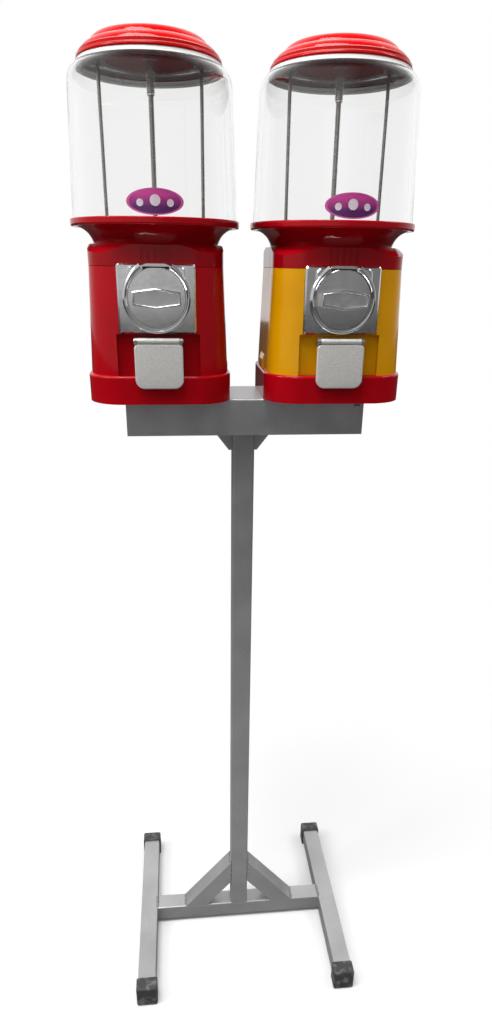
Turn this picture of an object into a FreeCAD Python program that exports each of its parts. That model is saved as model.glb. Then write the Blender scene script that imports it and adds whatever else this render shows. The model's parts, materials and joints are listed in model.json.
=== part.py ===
import FreeCAD, Part
import os
import re
import Sketcher

# A twin gumball machine: two vending heads side by side on one welded tube stand.
# The origin is on the floor under the post. X points to the viewer's right, Y to the back, Z up.
# Heights in a head are measured from the top of the stand's head beam.

doc = FreeCAD.newDocument("twin_gumball_machine")
sheet = doc.addObject("Spreadsheet::Sheet", "Sizes")

SIZES = {
    # stand
    "tube": 25.4, "tube_wall": 2, "tube_round": 2, "foot_spacing": 285, "foot_length": 296,
    "cap_wall": 2, "cap_floor": 6, "cap_length": 19, "cap_round": 3,
    "beam_top": 836, "beam_depth": 86, "beam_height": 40, "sheet_gauge": 2,
    "brace_height": 118, "brace_reach": 84.3,
    "gusset_drop": 65, "gusset_reach": 51, "gusset_gauge": 4,
    # outer shells of a head
    "head_spacing": 185, "corner_round": 34,
    "base_width": 149, "base_height": 28.5, "base_wall": 6.5, "base_floor": 3, "base_round": 2.4,
    "base_step": 3, "body_lean": 4, "shell_wall": 3, "front_wall": 5.5,
    "recess_half_width": 41.7, "slip": 0.3,
    "lug_width": 26, "lug_height": 15.5, "lug_reach": 1.9, "collar_height": 20.3,
    "flute_count": 5, "flute_width": 3, "flute_pitch": 6.4, "flute_depth": 0.9,
    # hopper, globe and lid
    "cove_height": 15.7, "flange_radius": 86.3, "flange_height": 7,
    "ledge_radius": 76, "skirt_wall": 2.5,
    "globe_low_radius": 83.7, "globe_top_radius": 79, "globe_wall": 2.5, "globe_height": 133.3,
    "shoulder_drop": 15.3, "shoulder_round": 17, "ring_radius": 69.3,
    "mouth_rise": 5.1, "mouth_radius": 44.2,
    "lid_radius": 66.5, "lid_step_radius": 57.5, "lid_wall": 2.5, "lid_round": 13,
    # rods and lock
    "rod_reach": 49.3, "rod_radius": 1.75, "centre_rod_radius": 2.5,
    "bridge_gauge": 5, "bridge_width": 12, "nut_radius": 4, "nut_height": 4,
    "lock_radius": 6, "lock_flange": 8.5, "sleeve_radius": 5, "tip_radius": 3.6, "plug_radius": 4,
    # coin mechanism
    "plate_half_width": 38.25, "plate_gauge": 4.5, "bezel_radius": 33, "bezel_rise": 4.5,
    "entry_half_width": 28, "slot_half_width": 14.2,
    "disc_radius": 28.5, "disc_gauge": 3.4, "disc_flat": 27.2,
    "grip_half_length": 23.4, "grip_half_height": 9.4, "grip_end": 6.2, "grip_rise": 12.7, "grip_rim": 2.2,
    "shaft_radius": 4, "play": 0.05, "housing_half_width": 27, "housing_wall": 1.7,
    "ratchet_radius": 22.5, "ratchet_depth": 1.5, "ratchet_teeth": 12, "coin_radius": 12.6,
    "wheel_gauge": 5, "pawl_x": 20.5, "pawl_pin": 1,
    # dispensing drive
    "gear_module": 2, "pinion_teeth": 10, "crown_teeth": 40, "tooth_half": 1, "tooth_face": 4.4,
    "rotor_height": 18.4, "pocket_radius": 10, "pocket_orbit": 17.5, "drop_radius": 10,
    # chute and flap
    "chute_half_width": 19, "chute_wall": 2, "chute_low": 17,
    "hinge_z": 63.4, "pin_radius": 1.5, "ear_gauge": 3, "flap_half_width": 24.2,
    "flap_gauge": 1.6, "flap_round": 9, "flap_rim": 1.6,
    # fasteners
    "bolt_x": 28, "bolt_y": 20, "bolt_radius": 4, "bolt_play": 0.3, "bolt_head": 7, "bolt_head_height": 4,
}

# Sizes that follow from others, so that pieces which meet in the machine keep together.
FOLLOWING = {
    # stand
    "beam_length": "head_spacing + 77",
    # shells, from the base's width
    "body_low_width": "base_width - 2 * base_step",
    "body_top_width": "body_low_width - 2 * body_lean",
    "seat_face": "body_top_width / 2",
    "recess_face": "seat_face - 1.5",
    "chute_front": "base_width / 2 + 1.5",
    "hinge_y": "chute_front + 3",
    "neck_radius": "body_top_width / 2 - 2.9",
    "cove_round": "0.7344 * sqrt((flange_radius - 2 - neck_radius)^2 + cove_height^2)",
    "collar_hole": "neck_radius - 6.6",
    "funnel_radius": "neck_radius - 2.6",
    # gears and what turns with them
    "pinion_radius": "gear_module * pinion_teeth / 2",
    "crown_radius": "gear_module * crown_teeth / 2",
    "rotor_radius": "crown_radius + 3.5",
    "plate_radius": "crown_radius - 4",
    "skirt_radius": "rotor_radius + 1.5",
    "throat_radius": "skirt_radius - 3",
    "housing_back": "crown_radius + tooth_face / 2 + 6.8",
    "wheel_front": "seat_face - 3.5",
    # heights in a head, from the flap's hinge upwards
    "flap_low": "chute_low",
    "flap_top": "hinge_z - 3",
    "chute_mouth": "hinge_z - 3.4",
    "recess_top": "hinge_z + 5.6",
    "coin_axis": "hinge_z + 39.5",
    "plate_low": "coin_axis - 33.2",
    "plate_top": "coin_axis + 31",
    "entry_top": "coin_axis + 28.9",
    "housing_low": "coin_axis - 26.9",
    "housing_top": "coin_axis + 26.3",
    "pawl_z": "coin_axis + 18.2",
    "rotor_low": "coin_axis + pinion_radius + 2.7",
    "rotor_top": "rotor_low + rotor_height",
    "floor_top": "rotor_low - 0.3",
    "floor_low": "floor_top - 2.8",
    "skirt_low": "rotor_low + 2.4",
    "throat_low": "rotor_top + 3",
    "collar_low": "throat_low - 6",
    "collar_top": "collar_low + collar_height",
    "flute_low": "collar_low + 4",
    "flute_top": "collar_top - 2.3",
    "flange_low": "collar_top + cove_height",
    "flange_top": "flange_low + flange_height",
    "ledge": "flange_low + 1.5",
    "globe_seat": "ledge + 2.5",
    "ring_height": "globe_seat + globe_height",
    "shoulder_low": "ring_height - shoulder_drop",
    "mouth_height": "ring_height + mouth_rise",
    "lid_step": "mouth_height + 10.8",
    "lid_top": "lid_step + 9.3",
    "sleeve_low": "mouth_height - 8.9",
    "centre_rod_top": "mouth_height - 13.4",
    "tip_low": "mouth_height - 27.4",
}

ROWS = {**SIZES, **{alias: "=" + rule for alias, rule in FOLLOWING.items()}}
for row, (alias, content) in enumerate(ROWS.items(), start=1):
    sheet.set(f"A{row}", alias)
    sheet.setAlias(f"B{row}", alias)
    sheet.set(f"B{row}", str(content))
doc.recompute()

BOLT_SPOTS = [("bolt_x", "bolt_y"), ("-bolt_x", "bolt_y"), ("-bolt_x", "-bolt_y"), ("bolt_x", "-bolt_y")]
SIDES = {"left": "-head_spacing / 2", "right": "head_spacing / 2"}


def value(expression):
    """The number that an expression of the sheet's names gives now."""
    return float(sheet.evalExpression(str(expression)))


def linked(expression):
    """The same expression with each name pointing at the sheet."""
    def point(match):
        word = match.group(0)
        return "Sizes." + word if word in ROWS else word
    return re.sub(r"[a-z_]\w*", point, str(expression))


def new_body(label, groups=False):
    body = doc.addObject("PartDesign::Body", label)
    body.Label = label
    body.AllowCompound = groups
    return body


def place(body, side, height="beam_top"):
    """Put a head's piece on its own side of the beam."""
    body.setExpression("Placement.Base.x", linked(SIDES[side]))
    body.setExpression("Placement.Base.z", linked(height))


def sketch_on(body, plane, offset=None):
    """A sketch on one of the body's origin planes, moved along its normal by an offset."""
    sketch = body.newObject("Sketcher::SketchObject", body.Label + "_sketch")
    role = {"top": "XY_Plane", "front": "XZ_Plane", "side": "YZ_Plane"}[plane]
    support = [item for item in body.Origin.OriginFeatures if item.Role == role][0]
    sketch.AttachmentSupport = [(support, "")]
    sketch.MapMode = "FlatFace"
    if offset is not None:
        sketch.setExpression("AttachmentOffset.Base.z", linked(offset))
    return sketch


def hold(sketch, geometry, point, x, y):
    """Tie one point of a sketch to two expressions."""
    for kind, axis, expression in (("DistanceX", -2, x), ("DistanceY", -1, y)):
        number = value(expression)
        if abs(number) < 1e-9:
            sketch.addConstraint(Sketcher.Constraint("PointOnObject", geometry, point, axis))
        else:
            index = sketch.addConstraint(Sketcher.Constraint(kind, -1, 1, geometry, point, number))
            sketch.setExpression(f"Constraints[{index}]", linked(expression))


def draw(sketch, corners):
    """A closed outline. A corner is (x, y), or (x, y, radius, bend) where an arc leads to it.

    The bend is 1 for an arc to the left, seen along the outline, and -1 for one to the right.
    """
    first = sketch.GeometryCount
    spots = [FreeCAD.Vector(value(c[0]), value(c[1]), 0) for c in corners]
    count = len(corners)
    ends = []
    for i in range(count):
        a, b, corner = spots[i], spots[(i + 1) % count], corners[(i + 1) % count]
        if len(corner) == 2:
            sketch.addGeometry(Part.LineSegment(a, b))
            ends.append((1, 2))
            continue
        radius, bend = value(corner[2]), corner[3]
        chord = b - a
        across = FreeCAD.Vector(-chord.y, chord.x, 0).normalize()
        lift = max(radius ** 2 - chord.Length ** 2 / 4, 0) ** 0.5
        centre = (a + b) * 0.5 + across * (bend * lift)
        swing = (a + b) * 0.5 - centre
        if swing.Length < 1e-9:
            swing = across * -bend
        middle = centre + swing.normalize() * radius
        index = sketch.addGeometry(Part.Arc(a, middle, b))
        ends.append((1, 2) if bend > 0 else (2, 1))
        rule = sketch.addConstraint(Sketcher.Constraint("Radius", index, radius))
        sketch.setExpression(f"Constraints[{rule}]", linked(corner[2]))
    for i in range(count):
        after = (i + 1) % count
        meeting = (first + i, ends[i][1], first + after, ends[after][0])
        sketch.addConstraint(Sketcher.Constraint("Coincident", *meeting))
        hold(sketch, first + i, ends[i][0], corners[i][0], corners[i][1])


def box(sketch, x_low, x_high, y_low, y_high, radius=None):
    """A rectangle, with round corners where a radius is given."""
    x_low, x_high, y_low, y_high = (f"({side})" for side in (x_low, x_high, y_low, y_high))
    if radius is None:
        draw(sketch, [(x_low, y_low), (x_high, y_low), (x_high, y_high), (x_low, y_high)])
        return
    radius = f"({radius})"
    draw(sketch, [(f"{x_low} + {radius}", y_low, radius, 1), (f"{x_high} - {radius}", y_low),
                  (x_high, f"{y_low} + {radius}", radius, 1), (x_high, f"{y_high} - {radius}"),
                  (f"{x_high} - {radius}", y_high, radius, 1), (f"{x_low} + {radius}", y_high),
                  (x_low, f"{y_high} - {radius}", radius, 1), (x_low, f"{y_low} + {radius}")])


def circle(sketch, x, y, radius):
    spot = FreeCAD.Vector(value(x), value(y), 0)
    index = sketch.addGeometry(Part.Circle(spot, FreeCAD.Vector(0, 0, 1), value(radius)))
    rule = sketch.addConstraint(Sketcher.Constraint("Radius", index, value(radius)))
    sketch.setExpression(f"Constraints[{rule}]", linked(radius))
    hold(sketch, index, 3, x, y)


def pad(body, sketch, length, way="up", taper=None):
    """Material along the sketch's normal (up), against it (down) or to both sides of it."""
    feature = body.newObject("PartDesign::Pad", body.Label + "_pad")
    feature.Profile = sketch
    feature.setExpression("Length", linked(length))
    feature.Reversed = way == "down"
    if way == "both":
        feature.SideType = "Symmetric"
    if taper is not None:
        feature.setExpression("TaperAngle", linked(taper))
    doc.recompute()
    return feature


def pocket(body, sketch, length, way="down"):
    """A cut against the sketch's normal (down), along it (up) or to both sides of it."""
    feature = body.newObject("PartDesign::Pocket", body.Label + "_pocket")
    feature.Profile = sketch
    feature.setExpression("Length", linked(length))
    feature.Reversed = way == "up"
    if way == "both":
        feature.SideType = "Symmetric"
    doc.recompute()
    return feature


def revolve(body, sketch, kind="Revolution"):
    """A full turn of the outline about the sketch's upright axis."""
    feature = body.newObject("PartDesign::" + kind, body.Label + "_" + kind.lower())
    feature.Profile = sketch
    feature.ReferenceAxis = (sketch, ["V_Axis"])
    feature.Angle = 360
    doc.recompute()
    return feature


def ring_of(body, features, count, plane="top"):
    """Repeat features around the body's Z axis, or around its Y axis."""
    role = {"top": "Z_Axis", "front": "Y_Axis"}[plane]
    axis = [item for item in body.Origin.OriginFeatures if item.Role == role][0]
    pattern = body.newObject("PartDesign::PolarPattern", body.Label + "_ring")
    pattern.Originals = features
    pattern.Axis = (axis, [""])
    pattern.Angle = 360
    pattern.setExpression("Occurrences", linked(count))
    body.Tip = pattern
    doc.recompute()
    return pattern


def mirrored(body, features, plane):
    """Repeat features on the other side of an origin plane."""
    role = {"side": "YZ_Plane", "front": "XZ_Plane"}[plane]
    support = [item for item in body.Origin.OriginFeatures if item.Role == role][0]
    copy = body.newObject("PartDesign::Mirrored", body.Label + "_mirrored")
    copy.Originals = features
    copy.MirrorPlane = (support, [""])
    body.Tip = copy
    doc.recompute()
    return copy


def round_edges(body, feature, radius, wanted, kind="Fillet"):
    """Round or bevel those edges of a feature for which wanted(edge) is true."""
    edges = feature.Shape.Edges
    names = [f"Edge{i}" for i, edge in enumerate(edges, start=1) if wanted(edge)]
    finish = body.newObject("PartDesign::" + kind, body.Label + "_" + kind.lower())
    finish.Base = (feature, names)
    finish.setExpression("Radius" if kind == "Fillet" else "Size", linked(radius))
    body.Tip = finish
    doc.recompute()
    return finish


def lies_at(axis, number):
    """A test for edges that lie wholly in a plane across one axis."""
    def test(edge):
        box_of = edge.BoundBox
        low, high = getattr(box_of, axis + "Min"), getattr(box_of, axis + "Max")
        return abs(low - number) < 0.01 and abs(high - number) < 0.01
    return test


foot_top = "(cap_floor + tube)"
half_tube = "(tube / 2)"


def square_tube(body, plane, offset, x_mid, y_mid, length, way):
    """A length of square tube, drawn as two nested squares."""
    sketch = sketch_on(body, plane, offset)
    for half, radius in ((half_tube, "tube_round"), ("(tube / 2 - tube_wall)", None)):
        x_sides = (f"{x_mid} - {half}", f"{x_mid} + {half}")
        y_sides = (f"{y_mid} - {half}", f"{y_mid} + {half}")
        box(sketch, *x_sides, *y_sides, radius)
    pad(body, sketch, length, way)


def make_stand_tubes():
    tube_mid = "(cap_floor + tube / 2)"
    for side, sign in (("left", "-"), ("right", "")):
        foot = new_body(f"{side}_foot_tube")
        middle = f"({sign}foot_spacing / 2)"
        square_tube(foot, "front", None, middle, tube_mid, "foot_length - 2 * cap_wall", "both")
    cross = new_body("cross_tube")
    square_tube(cross, "side", None, "0", tube_mid, "foot_spacing - tube", "both")
    post = new_body("post_tube")
    square_tube(post, "top", foot_top, "0", "0", f"beam_top - sheet_gauge - {foot_top}", "up")


def make_braces():
    """Slanting lengths of the same tube, mitred to the post and to the cross tube."""
    run = "(brace_reach - tube / 2)"
    rise = f"(brace_height - {foot_top})"
    slant = f"sqrt({run}^2 + {rise}^2)"
    for side, sign in (("left", "-1"), ("right", "1")):
        body = new_body(f"{side}_brace")
        for skin, depth, add in (("0", "tube", True), ("tube_wall", "tube - 2 * tube_wall", False)):
            near = f"({skin})"
            far = f"(tube - {skin})"
            sketch = sketch_on(body, "front")
            draw(sketch, [(f"{sign} * tube / 2", f"brace_height - {near} * {slant} / {run}"),
                          (f"{sign} * (brace_reach - {near} * {slant} / {rise})", foot_top),
                          (f"{sign} * (brace_reach - {far} * {slant} / {rise})", foot_top),
                          (f"{sign} * tube / 2", f"brace_height - {far} * {slant} / {run}")])
            if add:
                pad(body, sketch, depth, "both")
            else:
                pocket(body, sketch, depth, "both")


def make_head_beam():
    """A folded pan, open below, that carries both heads. One front corner has a relief notch."""
    body = new_body("head_beam")
    sketch = sketch_on(body, "top", "beam_top - beam_height")
    box(sketch, "-beam_length / 2", "beam_length / 2", "-beam_depth / 2", "beam_depth / 2")
    block = pad(body, sketch, "beam_height")
    block = round_edges(body, block, "sheet_gauge + 0.5", lies_at("Z", value("beam_top")))
    hollow = sketch_on(body, "top", "beam_top - beam_height")
    box(hollow, "-beam_length / 2 + sheet_gauge", "beam_length / 2 - sheet_gauge",
        "-beam_depth / 2 + sheet_gauge", "beam_depth / 2 - sheet_gauge")
    pocket(body, hollow, "beam_height - sheet_gauge", "up")
    holes = sketch_on(body, "top", "beam_top")
    for side in SIDES.values():
        for x, y in BOLT_SPOTS:
            circle(holes, f"{side} + {x}", y, "bolt_radius + bolt_play")
    pocket(body, holes, "2 * sheet_gauge", "down")
    relief = sketch_on(body, "front", "beam_depth / 2 + 1")
    box(relief, "beam_length / 2 - 11", "beam_length / 2 - 4", "beam_top - 8.5", "beam_top - 3.5")
    pocket(body, relief, "sheet_gauge + 2", "down")


def make_gussets():
    body = new_body("beam_gussets", groups=True)
    sketch = sketch_on(body, "front")
    under = "(beam_top - sheet_gauge)"
    draw(sketch, [(half_tube, under), (half_tube, f"{under} - gusset_drop"),
                  (f"{half_tube} + 4", f"{under} - gusset_drop"),
                  (f"{half_tube} + gusset_reach", f"{under} - 4"), (f"{half_tube} + gusset_reach", under)])
    plate = pad(body, sketch, "gusset_gauge", "both")
    mirrored(body, [plate], "side")


def make_foot_caps():
    """Moulded caps that slip over the tube ends and stand on the floor."""
    body = new_body("foot_caps", groups=True)
    middle = "(foot_spacing / 2)"
    reach = "(tube / 2 + cap_wall)"
    sketch = sketch_on(body, "front", "foot_length / 2")
    box(sketch, f"{middle} - {reach}", f"{middle} + {reach}", "0", f"{foot_top} + cap_wall", "cap_round")
    shell = pad(body, sketch, "cap_length", "down")
    shell = round_edges(body, shell, "cap_round", lies_at("Y", -value("foot_length / 2")))
    socket = sketch_on(body, "front", "foot_length / 2 - cap_length")
    box(socket, f"{middle} - tube / 2", f"{middle} + tube / 2", "cap_floor", foot_top, "tube_round")
    pocket(body, socket, "cap_length - cap_wall", "up")
    mirrored_body(body, "side")
    mirrored_body(body, "front")


def mirrored_body(body, plane):
    """Mirror the whole body, to give a group of equal pieces."""
    copy = mirrored(body, [], plane)
    copy.TransformMode = "Whole shape"
    doc.recompute()
    return copy


def square_box(sketch, half, radius):
    box(sketch, f"-{half}", half, f"-{half}", half, radius)


def front_cut(body, x_half, z_low, z_high, face, radius=None):
    """Cut a rectangle into a head's front, down to a flat face."""
    start = "(body_low_width / 2 + 8)"
    sketch = sketch_on(body, "front", start)
    box(sketch, f"-({x_half})", x_half, z_low, z_high, radius)
    return pocket(body, sketch, f"{start} - ({face})", "down")


def make_base_pan(side):
    """The foot of a head: a deep tray that holds the coins, with a gap for the chute."""
    body = new_body(f"{side}_base_pan")
    place(body, side)
    outline = sketch_on(body, "top")
    square_box(outline, "(base_width / 2)", "corner_round + 3")
    block = pad(body, outline, "base_height")
    block = round_edges(body, block, "base_round", lies_at("Z", value("base_height")))
    room = sketch_on(body, "top", "base_floor")
    square_box(room, "(base_width / 2 - base_wall)", "corner_round - 3")
    pocket(body, room, "base_height", "up")
    inside = "base_width / 2 - base_wall - 4"
    front_cut(body, "chute_half_width + slip", "chute_low", "base_height + 1", inside)
    holes = sketch_on(body, "top", "base_floor")
    for x, y in BOLT_SPOTS:
        circle(holes, x, y, "bolt_radius + bolt_play")
    pocket(body, holes, "2 * base_floor", "down")


def make_mounting_bolts(side):
    body = new_body(f"{side}_mounting_bolts", groups=True)
    place(body, side)
    for low, length, radius in (("-sheet_gauge - 10", "sheet_gauge + 10 + base_floor", "bolt_radius"),
                                ("base_floor", "bolt_head_height", "bolt_head"),
                                ("-sheet_gauge - 6.5", "6.5", "bolt_head")):
        sketch = sketch_on(body, "top", low)
        for x, y in BOLT_SPOTS:
            circle(sketch, x, y, radius)
        pad(body, sketch, length)


def make_body_shell(side):
    """The tapering middle of a head, with a coin plate seat, a chute recess and two side lugs."""
    body = new_body(f"{side}_body_shell")
    place(body, side)
    height = "(collar_low - base_height)"
    outline = sketch_on(body, "top", "base_height")
    square_box(outline, "(body_low_width / 2)", "corner_round")
    pad(body, outline, height, "up", f"-atan((body_low_width - body_top_width) / 2 / {height})")
    lug = sketch_on(body, "front")
    low_half = "(body_low_width / 2)"
    draw(lug, [(f"{low_half} - 8", "base_height"), (f"{low_half} + lug_reach", "base_height"),
               (f"{low_half} - 0.8", "base_height + lug_height", "2 * lug_height", 1),
               (f"{low_half} - 8", "base_height + lug_height")])
    one = pad(body, lug, "lug_width", "both")
    mirrored(body, [one], "side")
    room = sketch_on(body, "top", "base_height")
    inner = "(body_top_width / 2 - shell_wall)"
    box(room, f"-{inner}", inner, "-(seat_face - front_wall)", inner, "corner_round - 8")
    pocket(body, room, f"{height} + 1", "up")
    front_cut(body, "plate_half_width + slip", "plate_low - slip", "collar_low + 1", "seat_face")
    front_cut(body, "recess_half_width", "base_height - 1", "recess_top", "recess_face")
    inside = "seat_face - front_wall - 1"
    front_cut(body, "chute_half_width + slip", "base_height - 1", "chute_mouth + 2.5", inside)
    front_cut(body, "housing_half_width + slip", "housing_low - slip", "housing_top + slip", inside)


def make_body_collar(side):
    """The square band over the body. A cone trims its top corners, and flutes run down its front."""
    body = new_body(f"{side}_body_collar")
    place(body, side)
    half = "(body_top_width / 2)"
    outline = sketch_on(body, "top", "collar_low")
    square_box(outline, half, "corner_round - (body_low_width - body_top_width) / 2")
    block = pad(body, outline, "collar_top - collar_low")
    round_edges(body, block, "0.5", lies_at("Z", value("collar_low")), "Chamfer")
    cone = sketch_on(body, "front")
    draw(cone, [(f"{half} + 1", "collar_top + 1"), (f"{half} + 20", "collar_top - 11"),
                (f"{half} + 20", "collar_top + 1")])
    block = revolve(body, cone, "Groove")
    round_edges(body, block, "1.5", lies_at("Z", value("collar_top")))
    room = sketch_on(body, "top", "collar_low")
    square_box(room, f"({half} - shell_wall)", "corner_round - 8")
    pocket(body, room, "collar_top - collar_low - shell_wall", "up")
    hole = sketch_on(body, "top", "collar_top")
    circle(hole, "0", "0", "collar_hole")
    pocket(body, hole, "2 * shell_wall", "down")
    flutes = sketch_on(body, "front", half)
    count = int(value("flute_count"))
    for number in range(count):
        middle = f"({number - (count - 1) / 2} * flute_pitch)"
        box(flutes, f"{middle} - flute_width / 2", f"{middle} + flute_width / 2", "flute_low", "flute_top",
            "flute_width * 0.49")
    pocket(body, flutes, "flute_depth", "down")


def make_hopper(side):
    """The flange that carries the globe, with its coved neck outside and the funnel inside."""
    body = new_body(f"{side}_hopper")
    place(body, side)
    sketch = sketch_on(body, "front")
    skirt = "(skirt_radius + skirt_wall)"
    rim = "(globe_low_radius + 0.4)"
    draw(sketch, [("neck_radius", "collar_top", "cove_round", 1), ("neck_radius - 4", "collar_top"),
                  ("neck_radius - 4", "collar_top + 6.5"), (skirt, "throat_low + 2"), (skirt, "skirt_low"),
                  ("skirt_radius", "skirt_low"), ("skirt_radius", "throat_low"),
                  ("throat_radius", "throat_low"), ("funnel_radius", "ledge"),
                  ("ledge_radius", "ledge"), ("ledge_radius", "globe_seat"),
                  (rim, "globe_seat"), (rim, "flange_top"), ("flange_radius - 1.2", "flange_top"),
                  ("flange_radius", "flange_top - 1.2", "1.2", -1), ("flange_radius", "flange_low + 2"),
                  ("flange_radius - 2", "flange_low", "2", -1)])
    revolve(body, sketch)


def make_globe(side):
    """The clear merchandise jar with its stepped shoulder and wide mouth."""
    body = new_body(f"{side}_globe")
    place(body, side)
    sketch = sketch_on(body, "front")
    draw(sketch, [("globe_low_radius", "globe_seat"), ("globe_top_radius", "shoulder_low"),
                  ("ring_radius", "ring_height", "shoulder_round", 1), ("ring_radius - 1", "mouth_height"),
                  ("mouth_radius", "mouth_height"), ("mouth_radius", "mouth_height - globe_wall"),
                  ("ring_radius - 1 - globe_wall", "mouth_height - globe_wall"),
                  ("ring_radius - globe_wall", "ring_height - 1.5"),
                  ("globe_top_radius - globe_wall", "shoulder_low", "shoulder_round - globe_wall", -1),
                  ("globe_low_radius - globe_wall", "globe_seat")])
    revolve(body, sketch)
    holes = sketch_on(body, "top", "mouth_height")
    for x in ("rod_reach", "-rod_reach"):
        circle(holes, x, "0", "rod_radius + slip")
    pocket(body, holes, "2 * globe_wall", "down")


def make_rod_bridge(side):
    """The bar across the hopper in which the three rods stand."""
    body = new_body(f"{side}_rod_bridge")
    place(body, side)
    sketch = sketch_on(body, "top", "ledge")
    box(sketch, "-(ledge_radius - 0.5)", "ledge_radius - 0.5", "-bridge_width / 2", "bridge_width / 2")
    circle(sketch, "0", "0", "centre_rod_radius")
    for x in ("rod_reach", "-rod_reach"):
        circle(sketch, x, "0", "rod_radius")
    pad(body, sketch, "bridge_gauge")


def make_tie_rods(side):
    """Two long bolts that clamp the globe to the hopper. Their heads are under the lid."""
    body = new_body(f"{side}_tie_rods", groups=True)
    place(body, side)
    for low, length, radius in (("ledge", "mouth_height - ledge", "rod_radius"),
                                ("mouth_height", "nut_height", "nut_radius")):
        sketch = sketch_on(body, "top", low)
        for x in ("rod_reach", "-rod_reach"):
            circle(sketch, x, "0", radius)
        pad(body, sketch, length)


def make_centre_rod(side):
    body = new_body(f"{side}_centre_rod")
    place(body, side)
    sketch = sketch_on(body, "top", "ledge")
    circle(sketch, "0", "0", "centre_rod_radius")
    pad(body, sketch, "centre_rod_top - ledge")


def make_lid(side):
    """The stepped cap over the mouth of the globe."""
    body = new_body(f"{side}_lid")
    place(body, side)
    sketch = sketch_on(body, "front")
    inner_step = "(lid_step_radius - lid_wall)"
    draw(sketch, [("lid_radius", "mouth_height"), ("lid_radius", "mouth_height + 3.6"),
                  ("lid_radius - 1.6", "mouth_height + 4.6"),
                  ("lid_step_radius + 1", "lid_step - 1.2", "lid_round * 0.7", 1),
                  ("lid_step_radius - 0.6", "lid_step"),
                  ("lid_step_radius - 8.9", "lid_top - 2.9", "lid_round", 1),
                  ("lid_step_radius - 18.4", "lid_top - 1"), ("lock_flange + 2", "lid_top"),
                  ("lock_radius", "lid_top"), ("lock_radius", "lid_top - lid_wall"),
                  ("lid_step_radius - 18.4", "lid_top - 1 - lid_wall"),
                  (f"{inner_step} - 7.9", "lid_top - 2.9 - lid_wall"),
                  (f"{inner_step} - 0.6", "lid_step - 1"),
                  ("lid_radius - 1.6 - lid_wall", "mouth_height + 4"),
                  ("lid_radius - lid_wall - 0.6", "mouth_height")])
    revolve(body, sketch)


def make_lid_lock(side):
    """The lock barrel through the lid. Its sleeve grips the threaded end of the centre rod."""
    body = new_body(f"{side}_lid_lock")
    place(body, side)
    sketch = sketch_on(body, "front")
    bore = "(centre_rod_radius + play)"
    room = "(plug_radius + play)"
    draw(sketch, [(bore, "tip_low"), ("tip_radius", "tip_low"), ("tip_radius", "sleeve_low"),
                  ("sleeve_radius", "sleeve_low"), ("sleeve_radius", "lid_step - 8"),
                  ("lock_radius", "lid_step - 8"), ("lock_radius", "lid_top"),
                  ("lock_flange", "lid_top"), ("lock_flange - 1", "lid_top + 1.5"),
                  (room, "lid_top + 1.5"), (room, "lid_step + 2"), ("0", "lid_step + 2"),
                  ("0", "centre_rod_top + 2"), (bore, "centre_rod_top + 2")])
    revolve(body, sketch)


def make_lock_plug(side):
    body = new_body(f"{side}_lock_plug")
    place(body, side)
    sketch = sketch_on(body, "top", "lid_step + 2.3")
    circle(sketch, "0", "0", "plug_radius")
    pad(body, sketch, "lid_top - lid_step - 0.4")
    key = sketch_on(body, "top", "lid_top + 3")
    box(key, "-0.7", "0.7", "-2.5", "2.5")
    pocket(body, key, "4", "down")


def make_coin_plate(side):
    """The cast face of the coin mechanism: a round well for the knob under a squared coin entry."""
    body = new_body(f"{side}_coin_plate")
    place(body, side)
    sketch = sketch_on(body, "front", "seat_face")
    box(sketch, "-plate_half_width", "plate_half_width", "plate_low", "plate_top", "3")
    block = pad(body, sketch, "plate_gauge")
    round_edges(body, block, "1.6", lies_at("Y", -value("seat_face + plate_gauge")), "Chamfer")
    ring = sketch_on(body, "front", "seat_face + plate_gauge")
    circle(ring, "0", "coin_axis", "bezel_radius")
    pad(body, ring, "bezel_rise")
    entry = sketch_on(body, "front", "seat_face + plate_gauge")
    box(entry, "-entry_half_width", "entry_half_width", "coin_axis", "entry_top", "5")
    block = pad(body, entry, "bezel_rise")
    front = "(seat_face + plate_gauge + bezel_rise)"
    round_edges(body, block, "0.9", lies_at("Y", -value(front)), "Chamfer")
    slot = sketch_on(body, "front", front)
    box(slot, "-slot_half_width", "slot_half_width", "coin_axis + 20", "entry_top + slip")
    pocket(body, slot, "bezel_rise - slip", "down")
    well = sketch_on(body, "front", front)
    circle(well, "0", "coin_axis", "disc_radius + 2 * slip")
    pocket(body, well, "bezel_rise", "down")
    window = sketch_on(body, "front", front)
    pass_half = "(coin_radius + slip)"
    box(window, f"-{pass_half}", pass_half, "coin_axis + 14", "coin_axis + disc_flat + 1.2")
    circle(window, "0", "coin_axis", "shaft_radius + play")
    pocket(body, window, "2 * (plate_gauge + bezel_rise)", "down")


def grip_outline(sketch, inset):
    """The long six-sided outline of the knob's grip, drawn in by an inset."""
    length = f"(grip_half_length - {inset})"
    middle = f"(grip_half_height - {inset})"
    end = f"(grip_end - {inset} * 0.9)"
    draw(sketch, [(f"-{length}", f"-{end}"), ("0", f"-{middle}"), (length, f"-{end}"),
                  (length, end), ("0", middle), (f"-{length}", end)])


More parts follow.
